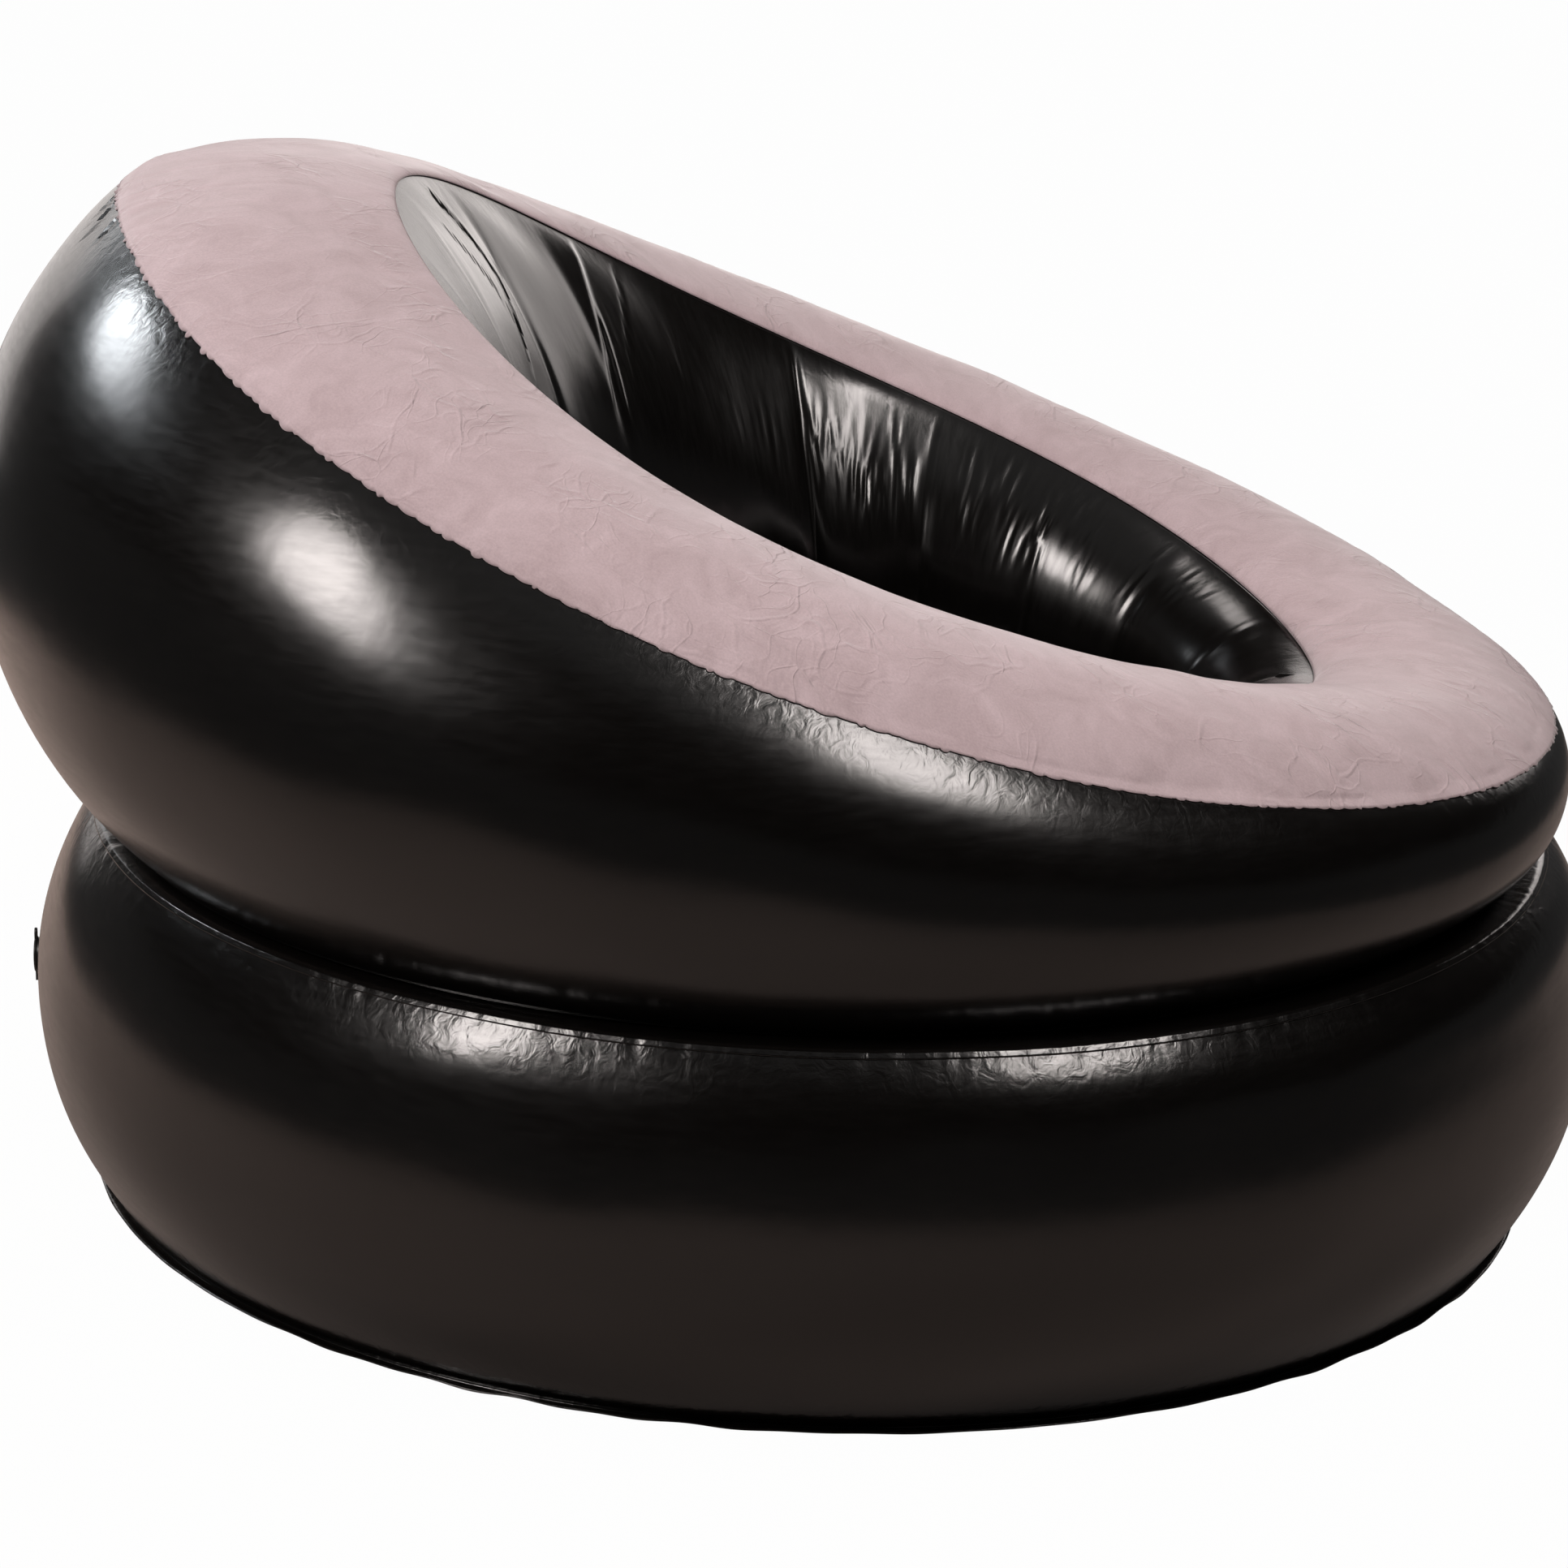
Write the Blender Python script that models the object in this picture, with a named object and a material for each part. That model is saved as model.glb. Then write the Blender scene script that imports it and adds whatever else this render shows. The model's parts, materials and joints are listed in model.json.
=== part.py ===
"""Inflatable chair: a round air base that carries the seat, and a tilted air ring that makes arms and back.

Metres, +Z up. The origin is the middle of the base's underside, the low front is at -Y and the high back at +Y.
Each chamber is made of separate sheets of film, lapped or flanged at their edges, with film ties inside.
"""

import math

import bmesh
import bpy
from mathutils import Matrix, Vector

MM = 0.001

# Film, seams and clearance
film = 0.4 * MM
flocked_film = 0.6 * MM
gap = 0.3 * MM
merge_distance = gap / 10
lap_width = 8 * MM
hem_width = 10 * MM
flange_width = 9 * MM
fold_clearance = 0.6 * MM
crease_angle = math.radians(40)

# Columns of each ring-shaped sheet: a rib stands on every third one
rib_count = 18
columns_per_bay = 3
first_rib_angle = math.radians(10)
column_count = rib_count * columns_per_bay

# Base
base_bottom_radius = 500 * MM
base_top_radius = 508 * MM
base_height = 260 * MM
base_swell = 46 * MM
base_wall_rows = 7
floor_row_shares = (1.0, 0.55, 0.0)
contact_rise = 2.5 * MM
contact_inset = 68 * MM

# Ring: where it stands on the base, and the seat well through it
foot_inset = 21 * MM
foot_centre_y = 10 * MM
well_half_width = 250 * MM
well_half_length = 240 * MM
well_centre_y = -30 * MM

# Seat: the part of the base's top sheet that shows in the well
seat_margin = 15 * MM
seat_crown = 30 * MM
seat_row_shares = (1.0, 0.72, 0.4)
channel_depth_share = 0.3
channel_reach_columns = 2

# Ties inside the base
tie_count = 6
tie_inset = 40 * MM
tie_inner_radius = 70 * MM

# Ring: the outer seam, a tilted oval whose height is measured from the base's top seam
outer_half_width = 467 * MM
outer_half_length = 523 * MM
outer_centre_y = -7 * MM
outer_rise = 241 * MM
outer_tilt = math.radians(18.6)
outer_lift = 22 * MM
outer_egg_share = 0.05

# Ring: the inner seam, round the mouth of the well
inner_half_width = 276 * MM
inner_half_length = 353 * MM
inner_centre_y = -13 * MM
inner_rise = 261 * MM
inner_tilt = math.radians(24.9)
inner_lift = 15.5 * MM
inner_wave = 7 * MM
inner_egg_share = 0.028

# Ring: how far each sheet swells, at the sides, at the back and at the front
wall_swell = (52 * MM, 103 * MM, 33 * MM)
top_swell = (25 * MM, 16 * MM, 24 * MM)
inner_swell = (60 * MM, 62 * MM, 28 * MM)
quilt_share = 0.22
wall_rows = 9
top_rows = 6
inner_rows = 8
ring_floor_rows = 3

# Ribs inside the ring
rib_top_width = 20 * MM
rib_foot_width = 110 * MM

# Valve body
bore_radius = 9.5 * MM
collar_wall = 2.5 * MM
collar_height = 5 * MM
collar_depth = 12 * MM
valve_flange_margin = 9 * MM
valve_flange_height = 1.2 * MM
round_steps = 24

# Valve cap, flap and strap
cap_height = 1.8 * MM
cap_overhang = 0.6 * MM
plug_depth = 4 * MM
plug_taper = 0.5 * MM
tab_length = 7 * MM
flap_thickness = 1 * MM
flap_seat = 1.2 * MM
strap_band = 2.6 * MM
strap_thickness = 1.2 * MM
strap_reach = 4 * MM
strap_facets = 2
cut_overrun = 5 * MM

# Colours as linear values, each with a roughness
black_film_look = ((0.008, 0.0075, 0.007, 1.0), 0.28)
hidden_film_look = ((0.012, 0.011, 0.011, 1.0), 0.4)
flock_look = ((0.55, 0.42, 0.42, 1.0), 0.95)
valve_look = ((0.02, 0.02, 0.02, 1.0), 0.45)
flap_look = ((0.7, 0.7, 0.68, 1.0), 0.3)

# Sizes and heights that follow from what lies on what
foot_radius = base_top_radius - foot_inset
contact_radius = base_top_radius - contact_inset
seat_radius = min(well_half_width, well_half_length) - seat_margin
tie_outer_radius = contact_radius - tie_inset
floor_z = film / 2
flange_z = floor_z + film + gap
contact_z = base_height + contact_rise
ring_floor_z = contact_z + film + gap
ring_hem_z = ring_floor_z + film + gap
collar_radius = bore_radius + collar_wall
valve_flange_radius = collar_radius + valve_flange_margin
flange_top = gap + valve_flange_height
strap_floor = flange_top + gap
strap_top = strap_floor + strap_thickness
strap_outer = collar_radius + gap + strap_band
fold_reach = strap_outer + strap_reach
cap_floor = collar_height + gap
flap_top = -collar_depth - gap
flap_radius = bore_radius + flap_seat
up = Vector((0, 0, 1))
seat_centre = Vector((0, well_centre_y, 0))
cap_pivot = Vector((0, -fold_reach, strap_top + gap / 2))
flap_pivot = Vector((0, flap_radius, flap_top))


def make_object(name, bm, look):
    """Turn a bmesh into an object of that name with a material of its own."""
    mesh = bpy.data.meshes.new(name)
    bm.to_mesh(mesh)
    bm.free()
    mesh.shade_smooth()
    mesh.set_sharp_from_angle(angle=crease_angle)
    material = bpy.data.materials.new(name)
    material.use_nodes = True
    shader = material.node_tree.nodes["Principled BSDF"]
    shader.inputs["Base Color"].default_value = look[0]
    shader.inputs["Roughness"].default_value = look[1]
    shader.inputs["Metallic"].default_value = 0
    mesh.materials.append(material)
    thing = bpy.data.objects.new(name, mesh)
    bpy.context.scene.collection.objects.link(thing)
    return thing


def column_angle(column):
    return first_rib_angle + column * math.tau / column_count


def outward(angle):
    return Vector((math.cos(angle), math.sin(angle), 0))


def facing(start, end, angle):
    """Unit normal of a stretch of a column's path, on the outside of its chamber."""
    along = Vector((-math.sin(angle), math.cos(angle), 0))
    return along.cross(end - start).normalized()


def by_side(sizes, angle):
    """A size that runs smoothly from its value at the sides to those at the back and at the front."""
    sides, back, front = sizes
    ends = (back + front) / 2
    mean = (sides + ends) / 2
    return mean + (back - front) / 2 * math.sin(angle) + (sides - mean) * math.cos(2 * angle)


def oval(half_width, half_length, centre_y, height, angle):
    return Vector((half_width * math.cos(angle), centre_y + half_length * math.sin(angle), height))


def swollen(start, end, towards, swell, rows):
    """Points of the arc from start to end that stands out by swell on the side that towards names."""
    chord = end - start
    half = chord.length / 2
    line = chord.normalized()
    side = (towards - line * towards.dot(line)).normalized()
    radius = (half * half + swell * swell) / (2 * swell)
    half_angle = math.asin(min(1, half / radius))
    centre = (start + end) / 2 + side * (swell - radius)
    turns = [half_angle * (2 * row / rows - 1) for row in range(rows + 1)]
    return [centre + (line * math.sin(turn) + side * math.cos(turn)) * radius for turn in turns]


def seam_strip(path, width):
    """The same path with one more point near its end, so that a strip of that width lies along the seam."""
    strip = (path[-2] - path[-1]).normalized() * width
    return path[:-1] + [path[-1] + strip, path[-1]]


def outer_seam(angle):
    """The tilted oval where the flocked top is lapped over the outer wall."""
    across = outer_half_width * math.cos(angle) * (1 + outer_egg_share * math.sin(angle))
    run = outer_half_length * math.sin(angle)
    rise = outer_rise + run * math.sin(outer_tilt) - outer_lift * math.cos(2 * angle)
    return Vector((across, outer_centre_y + run * math.cos(outer_tilt), base_height + rise))


def inner_seam(angle):
    """The tilted oval where the flocked top meets the inner wall."""
    across = inner_half_width * math.cos(angle) * (1 + inner_egg_share * math.sin(angle))
    run = inner_half_length * math.sin(angle)
    wave = inner_lift * math.cos(2 * angle) + inner_wave * math.sin(3 * angle)
    rise = inner_rise + run * math.sin(inner_tilt) - wave
    return Vector((across, inner_centre_y + run * math.cos(inner_tilt), base_height + rise))


def base_floor_path(column):
    """Base bottom sheet: flat on the floor, out to the edge of the welded flange."""
    edge = outward(column_angle(column)) * (base_bottom_radius + flange_width)
    return [edge * share + up * floor_z for share in floor_row_shares]


def base_wall_path(column):
    """Base wall: its half of the floor flange, then the swollen wall up to the top seam."""
    out = outward(column_angle(column))
    foot = out * base_bottom_radius + up * flange_z
    head = out * base_top_radius + up * base_height
    return [foot + out * flange_width] + swollen(foot, head, out, base_swell, base_wall_rows)


def lapped(wall, thickness, angle):
    """Edge of a sheet that is lapped over the head of a wall: its free edge and its fold at the seam."""
    seam = wall[-1] + facing(wall[-2], wall[-1], angle) * (film / 2 + gap + thickness / 2)
    return [seam + (wall[-2] - wall[-1]).normalized() * lap_width, seam]


def seat_height(share, column):
    """Height of the seat at a share of its radius, drawn down in a channel along each tie."""
    columns_per_tie = column_count / tie_count
    aside = abs((column + columns_per_tie / 2) % columns_per_tie - columns_per_tie / 2)
    channel = channel_depth_share * share * max(0, 1 - aside / channel_reach_columns)
    return contact_z + seat_crown * (1 - share * share) * (1 - channel)


def base_top_path(column):
    """Base top sheet: its lap, the flat that the ring stands on, and the crowned seat."""
    angle = column_angle(column)
    path = lapped(base_wall_path(column), film, angle)
    path.append(seat_centre + outward(angle) * contact_radius + up * contact_z)
    for share in seat_row_shares + (0,):
        height = seat_height(share, column)
        path.append(seat_centre + outward(angle) * seat_radius * share + up * height)
    return path


def ring_floor_path(column):
    """Ring bottom sheet: flat on the base, from the well to the ring's foot."""
    angle = column_angle(column)
    well = oval(well_half_width, well_half_length, well_centre_y, ring_floor_z, angle)
    foot = oval(foot_radius, foot_radius, foot_centre_y, ring_floor_z, angle)
    return [well.lerp(foot, row / ring_floor_rows) for row in range(ring_floor_rows + 1)]


def outer_wall_path(column):
    """Ring outer wall: a hem on the bottom sheet, then the swollen wall up to the outer seam."""
    angle = column_angle(column)
    out = outward(angle)
    foot = oval(foot_radius, foot_radius, foot_centre_y, ring_hem_z, angle)
    arc = swollen(foot, outer_seam(angle), out, by_side(wall_swell, angle), wall_rows)
    return [foot - out * hem_width] + seam_strip(arc, lap_width)


def top_path(column):
    """Flocked top: its lap over the outer wall, then the swollen top in to the inner seam."""
    angle = column_angle(column)
    lap = lapped(outer_wall_path(column), flocked_film, angle)
    arc = swollen(lap[1], inner_seam(angle), up, by_side(top_swell, angle), top_rows)
    return lap[:1] + seam_strip(arc, hem_width)


def inner_wall_path(column):
    """Ring inner wall: a hem under the flocked top, the wall swollen into the well, a hem on the bottom sheet.

    The wall is drawn in at each rib that it is welded to.
    """
    angle = column_angle(column)
    out = outward(angle)
    top = top_path(column)
    inwards = (top[-1] - top[-2]).normalized()
    below = facing(top[-2], top[-1], angle) * -(flocked_film / 2 + gap + film / 2)
    head = top[-1] + below + inwards * fold_clearance
    foot = oval(well_half_width, well_half_length, well_centre_y, ring_hem_z, angle)
    quilting = 1 - quilt_share * math.cos(math.pi * column / columns_per_bay) ** 2
    arc = swollen(head, foot, -out, by_side(inner_swell, angle) * quilting, inner_rows)
    return [head - inwards * hem_width] + arc + [foot + out * hem_width]


def make_sheet(name, path, thickness, look):
    """Loft the columns' paths all the way round and give the sheet its thickness."""
    rows = len(path(0)) - 1
    bm = bmesh.new()
    bmesh.ops.create_grid(bm, x_segments=column_count, y_segments=rows, size=1)
    for vertex in bm.verts:
        column = round((vertex.co.x + 1) / 2 * column_count)
        row = round((vertex.co.y + 1) / 2 * rows)
        vertex.co = path(column)[row]
    bmesh.ops.remove_doubles(bm, verts=bm.verts, dist=merge_distance)
    bmesh.ops.recalc_face_normals(bm, faces=bm.faces)
    sheet = make_object(name, bm, look)
    solidify = sheet.modifiers.new("Thickness", "SOLIDIFY")
    solidify.thickness = thickness
    solidify.offset = 0
    solidify.use_even_offset = True
    return sheet


def make_panel(name, near, far, angle):
    """A strip of film in a column's own plane, between two edges given as points from top to bottom."""
    side = Vector((-math.sin(angle), math.cos(angle), 0)) * film / 2
    bm = bmesh.new()
    loops = []
    for a, b in zip(near, far):
        loops.append([bm.verts.new(corner) for corner in (a - side, b - side, b + side, a + side)])
    for upper, lower in zip(loops, loops[1:]):
        for corner in range(4):
            beside = (corner + 1) % 4
            bm.faces.new((upper[corner], upper[beside], lower[beside], lower[corner]))
    bmesh.ops.holes_fill(bm, edges=bm.edges)
    bmesh.ops.recalc_face_normals(bm, faces=bm.faces)
    return make_object(name, bm, hidden_film_look)


def make_rib(number):
    """Gusset from the back of the inner wall, below its top hem, down to the hem on the bottom sheet."""
    column = (number - 1) * columns_per_bay
    angle = column_angle(column)
    out = outward(angle)
    wall = inner_wall_path(column)
    clearance = film / 2 + gap
    bottom = ring_hem_z + clearance
    line = wall[2:-2]
    share = (wall[-3].z - bottom) / (wall[-3].z - wall[-2].z)
    line.append(wall[-3].lerp(wall[-2], share))
    near = []
    far = []
    for row, point in enumerate(line):
        normal = facing(line[max(row - 1, 0)], line[min(row + 1, len(line) - 1)], angle)
        edge = point - out * clearance / normal.dot(out)
        width = rib_top_width + (rib_foot_width - rib_top_width) * row / (len(line) - 1)
        near.append(edge)
        far.append(edge + out * width)
    make_panel(f"ring_rib_{number:02d}", near, far, angle)


def make_tie(number):
    """Radial strip between the base's two sheets, under one of the seat's channels."""
    column = (number - 1) * column_count // tie_count
    angle = column_angle(column)
    out = outward(angle)
    path = base_top_path(column)[2:]
    radii = [contact_radius] + [seat_radius * share for share in seat_row_shares + (0,)]
    stops = [tie_outer_radius] + [radius for radius in radii if tie_inner_radius < radius < tie_outer_radius]
    stops.append(tie_inner_radius)
    clearance = film / 2 + gap
    upper = []
    lower = []
    for stop in stops:
        row = max(index for index, radius in enumerate(radii[:-1]) if radius >= stop)
        share = (radii[row] - stop) / (radii[row] - radii[row + 1])
        height = path[row].z + (path[row + 1].z - path[row].z) * share
        upper.append(seat_centre + out * stop + up * (height - clearance))
        lower.append(seat_centre + out * stop + up * (floor_z + clearance))
    make_panel(f"base_tie_{number}", upper, lower, angle)


def make_turned(name, profile, look):
    """Turn a profile of (radius, height) points about the valve's own axis."""
    bm = bmesh.new()
    points = [bm.verts.new((radius, 0, height)) for radius, height in profile]
    edges = [bm.edges.new(pair) for pair in zip(points, points[1:])]
    if profile[0][0] > 0:
        edges.append(bm.edges.new((points[-1], points[0])))
    bmesh.ops.spin(bm, geom=points + edges, cent=(0, 0, 0), axis=(0, 0, 1), angle=math.tau,
                   steps=round_steps, use_merge=True)
    bmesh.ops.remove_doubles(bm, verts=bm.verts, dist=merge_distance)
    bmesh.ops.recalc_face_normals(bm, faces=bm.faces)
    return make_object(name, bm, look)


def rim_faces(bm, side, low, high):
    """The facets in the middle of a turned piece's outer rim, on the +Y or -Y side and between two heights."""
    spread = math.cos(math.tau / round_steps * strap_facets / 2)
    rim = []
    for face in bm.faces:
        middle = face.calc_center_median()
        outer = middle.y * side > 0 and face.normal.y * side > spread
        if outer and low < middle.z < high:
            rim.append(face)
    return rim


def draw_out(bm, faces, axis, place):
    """Extrude a patch of a mesh until its end lies flat at that place along an axis, and return the end."""
    grown = bmesh.ops.extrude_face_region(bm, geom=faces)["geom"]
    bmesh.ops.delete(bm, geom=[face for face in faces if face.is_valid], context="FACES_ONLY")
    ends = [part for part in grown if isinstance(part, bmesh.types.BMFace)]
    for vertex in {vertex for face in ends for vertex in face.verts}:
        vertex.co[axis] = place
    bm.normal_update()
    return ends


def seat_piece(thing, place, pivot):
    """Put a piece of a valve in its place, with its origin on the line that it turns about."""
    thing.data.transform(Matrix.Translation(-pivot))
    thing.matrix_world = place @ Matrix.Translation(pivot)


def valve_place(path, column, row):
    """The middle of a flat facet of a wall, on its outside: X runs level along the wall, Z points out of it."""
    before = path(column)
    after = path(column + 1)
    middle = (before[row] + before[row + 1] + after[row] + after[row + 1]) / 4
    normal = (after[row] - before[row + 1]).cross(after[row + 1] - before[row]).normalized()
    level = up.cross(normal).normalized()
    turn = Matrix((level, normal.cross(level), normal)).transposed()
    return Matrix.LocRotScale(middle + normal * film / 2, turn, None)


def make_valve_body(name):
    """Moulded body: a collar through the wall, with a flange welded to the wall's outside."""
    return make_turned(name, (
        (collar_radius, -collar_depth), (collar_radius, gap), (valve_flange_radius, gap),
        (valve_flange_radius, flange_top), (collar_radius, flange_top), (collar_radius, collar_height),
        (bore_radius, collar_height), (bore_radius, -collar_depth)), valve_look)


def make_valve_flap(name):
    """One-way flap: a disc over the collar's inner end, which the chamber's air holds shut."""
    return make_turned(name, (
        (0, flap_top - flap_thickness), (flap_radius, flap_top - flap_thickness),
        (flap_radius, flap_top), (0, flap_top)), flap_look)


def make_valve_strap(name):
    """Strap: a ring round the collar with a tongue below it, out to the fold that the cap turns about."""
    strap_inner = collar_radius + gap
    strap = make_turned(name, (
        (strap_inner, strap_floor), (strap_outer, strap_floor),
        (strap_outer, strap_top), (strap_inner, strap_top)), valve_look)
    bm = bmesh.new()
    bm.from_mesh(strap.data)
    draw_out(bm, rim_faces(bm, -1, strap_floor, strap_top), 1, -fold_reach)
    bm.to_mesh(strap.data)
    bm.free()
    return strap


def make_valve_cap(name):
    """Cap: a disc with a tapered plug, a pull tab above, and an arm that comes down to the strap's fold."""
    cap_top = cap_floor + cap_height
    cap_radius = collar_radius + cap_overhang
    plug_radius = bore_radius - gap
    cap = make_turned(name, (
        (0, collar_height - plug_depth), (plug_radius - plug_taper, collar_height - plug_depth),
        (plug_radius, cap_floor), (cap_radius, cap_floor), (cap_radius, cap_top), (0, cap_top)), valve_look)
    bm = bmesh.new()
    bm.from_mesh(cap.data)
    draw_out(bm, rim_faces(bm, 1, cap_floor, cap_top), 1, cap_radius + tab_length)
    arm_end = -fold_reach + strap_thickness
    arm = draw_out(bm, rim_faces(bm, -1, cap_floor, cap_top), 1, arm_end)
    draw_out(bm, arm, 1, -fold_reach)
    under = [face for face in bm.faces if face.normal.z < 0 and face.calc_center_median().y < arm_end]
    draw_out(bm, [face for face in under if abs(face.normal.y) < abs(face.normal.z)], 2, strap_top + gap)
    bm.to_mesh(cap.data)
    bm.free()
    return cap


def cut_valve_hole(name, wall, place):
    """Cut the round hole for a valve's collar through its wall."""
    bm = bmesh.new()
    hole_radius = collar_radius + gap
    bmesh.ops.create_cone(bm, cap_ends=True, segments=round_steps, radius1=hole_radius,
                          radius2=hole_radius, depth=film + 2 * cut_overrun)
    cutter = make_object(name, bm, hidden_film_look)
    cutter.hide_render = True
    cutter.display_type = "WIRE"
    cutter.matrix_world = place
    hole = wall.modifiers.new("Valve hole", "BOOLEAN")
    hole.object = cutter
    hole.operation = "DIFFERENCE"


def make_valve(chamber, wall, path, column, row):
    """A valve on the flat facet of a wall between two columns."""
    place = valve_place(path, column, row)
    seat_piece(make_valve_body(f"{chamber}_valve_body"), place, Vector())
    seat_piece(make_valve_flap(f"{chamber}_valve_flap"), place, flap_pivot)
    seat_piece(make_valve_strap(f"{chamber}_valve_strap"), place, Vector())
    seat_piece(make_valve_cap(f"{chamber}_valve_cap"), place, cap_pivot)
    cut_valve_hole(f"{chamber}_valve_hole", wall, place)


for old in list(bpy.data.objects):
    bpy.data.objects.remove(old, do_unlink=True)

make_sheet("base_bottom_sheet", base_floor_path, film, black_film_look)
base_wall = make_sheet("base_wall", base_wall_path, film, black_film_look)
make_sheet("base_top_sheet", base_top_path, film, black_film_look)
make_sheet("ring_bottom_sheet", ring_floor_path, film, black_film_look)
ring_outer_wall = make_sheet("ring_outer_wall", outer_wall_path, film, black_film_look)
make_sheet("ring_inner_wall", inner_wall_path, film, black_film_look)
make_sheet("flocked_top", top_path, flocked_film, flock_look)
for rib in range(1, rib_count + 1):
    make_rib(rib)
for tie in range(1, tie_count + 1):
    make_tie(tie)

valve_column = round((math.pi / 2 - first_rib_angle) / math.tau * column_count)
make_valve("base", base_wall, base_wall_path, valve_column, 1 + base_wall_rows // 2)
make_valve("ring", ring_outer_wall, outer_wall_path, valve_column, 1 + wall_rows // 2)
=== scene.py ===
"""An inflatable chair dressed for its portrait: glossy black chambers, a flocked top and two air valves.

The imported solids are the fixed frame. Each sheet of film is laid again here as a fine mesh in the same place,
with the pleats, creases and lapped welds of the real chair. Metres, +Z up, the low front at -Y.
"""

import json
import math

import bmesh
import bpy
import numpy as np
from mathutils import Matrix, Vector


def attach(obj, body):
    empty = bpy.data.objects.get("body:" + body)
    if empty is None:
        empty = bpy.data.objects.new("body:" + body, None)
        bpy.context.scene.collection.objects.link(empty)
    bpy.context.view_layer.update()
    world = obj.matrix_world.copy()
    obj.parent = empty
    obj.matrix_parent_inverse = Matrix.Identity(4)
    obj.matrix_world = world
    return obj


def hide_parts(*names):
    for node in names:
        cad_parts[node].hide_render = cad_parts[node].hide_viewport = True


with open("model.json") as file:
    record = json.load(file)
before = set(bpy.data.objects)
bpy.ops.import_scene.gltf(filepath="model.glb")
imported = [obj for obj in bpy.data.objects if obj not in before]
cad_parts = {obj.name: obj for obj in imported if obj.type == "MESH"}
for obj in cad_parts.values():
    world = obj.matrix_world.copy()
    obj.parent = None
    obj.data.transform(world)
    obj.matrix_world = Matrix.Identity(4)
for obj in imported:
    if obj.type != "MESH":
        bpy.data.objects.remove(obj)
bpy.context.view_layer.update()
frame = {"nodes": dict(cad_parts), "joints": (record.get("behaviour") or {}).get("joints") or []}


# The view
# A long lens stands about four metres off on the chair's right side, a little above its rim. The camera leans
# by two degrees, which is what tips the base in the picture.

photo_side_px = 1932
focal_px = 7300.4
sensor_mm = 36
camera_place = Vector((-3.9914, -0.1244, 1.5525))
camera_azimuth = math.radians(-87.84)
camera_elevation = math.radians(17.77)
camera_lean = math.radians(2.10)

camera_data = bpy.data.cameras.new("portrait_lens")
camera_data.sensor_width = sensor_mm
camera_data.lens = sensor_mm * focal_px / photo_side_px
camera = bpy.data.objects.new("portrait_camera", camera_data)
bpy.context.scene.collection.objects.link(camera)
level = math.cos(camera_elevation)
back = Vector((math.sin(camera_azimuth) * level, -math.cos(camera_azimuth) * level,
               math.sin(camera_elevation)))
turn = back.to_track_quat("Z", "Y").to_matrix() @ Matrix.Rotation(camera_lean, 3, "Z")
camera.matrix_world = Matrix.LocRotScale(camera_place, turn, None)
bpy.context.scene.camera = camera
bpy.context.scene.view_settings.view_transform = "Standard"


# The studio
# A matt floor in a dark room with a grey ceiling. The camera sees floor and horizon as white, and the film
# mirrors
# the real tones: grey-brown round the chair, darker further off, and the dark room above. The floor's paint is
# a
# painted pool of light: lighter within a radius of the chair, with painted shade further off.


def linear(colour):
    """An sRGB hex colour as linear red, green, blue and alpha."""
    parts = [int(colour[i:i + 2], 16) / 255 for i in (0, 2, 4)]
    return [part / 12.92 if part <= 0.04045 else ((part + 0.055) / 1.055) ** 2.4 for part in parts] + [1]


def add(tree, kind, inputs=(), **settings):
    """One shader node: its settings, and for each input a value or the (node, output) that feeds it."""
    node = tree.nodes.new("ShaderNode" + kind)
    for name, value in settings.items():
        setattr(node, name, value)
    for name, value in dict(inputs).items():
        if isinstance(value, tuple) and isinstance(value[0], bpy.types.Node):
            tree.links.new(value[0].outputs[value[1]], node.inputs[name])
        else:
            node.inputs[name].default_value = value
    return node


def mix_colours(tree, factor, first, second):
    """The (node, output) of a mix of two colours."""
    node = tree.nodes.new("ShaderNodeMix")
    node.data_type = "RGBA"
    for number, value in ((0, factor), (6, first), (7, second)):
        if isinstance(value, tuple):
            tree.links.new(value[0].outputs[value[1]], node.inputs[number])
        else:
            node.inputs[number].default_value = value
    return node, 2


def start_material(name):
    """A new material and its node tree, with the output node alone in it."""
    material = bpy.data.materials.new(name)
    material.use_nodes = True
    material.node_tree.nodes.clear()
    return material, material.node_tree


def make_object(name, bm, material):
    """An object at the origin from a bmesh, which it uses up."""
    mesh = bpy.data.meshes.new(name)
    bm.to_mesh(mesh)
    bm.free()
    mesh.materials.append(material)
    made = bpy.data.objects.new(name, mesh)
    bpy.context.scene.collection.objects.link(made)
    return made


white_seen_share = 0.985
white_mirrored_share = 0.05


def background_share(tree):
    """How white a ray sees floor and horizon: nearly white to the camera, and hardly so in a reflection."""
    rays = add(tree, "LightPath")
    seen = add(tree, "Math", {0: (rays, "Is Camera Ray"), 1: (rays, "Is Transmission Ray")}, operation="ADD")
    seen = add(tree, "Math", {0: (seen, "Value"), 1: white_seen_share}, operation="MULTIPLY", use_clamp=True)
    return add(tree, "Math", {0: (rays, "Is Glossy Ray"), 1: white_mirrored_share, 2: (seen, "Value")},
               operation="MULTIPLY_ADD", use_clamp=True), "Value"


floor_radius = 60
floor_segments = 96
lit_floor_radius = 1.4
floor_fade = 0.4
# The floor's paint: its own grey-brown round the chair, and a darker painted shade further off, a painted pool
# of light.
floor_colour = "978880"
far_floor_painted_shade = "2c2825"
room_colour = "0c0c0c"
ceiling_colour = "6a6a6a"
ceiling_edge = math.sin(math.radians(52))
ceiling_full = math.sin(math.radians(68))
horizon_top = math.sin(math.radians(5))
horizon_fade = math.sin(math.radians(13))

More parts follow.
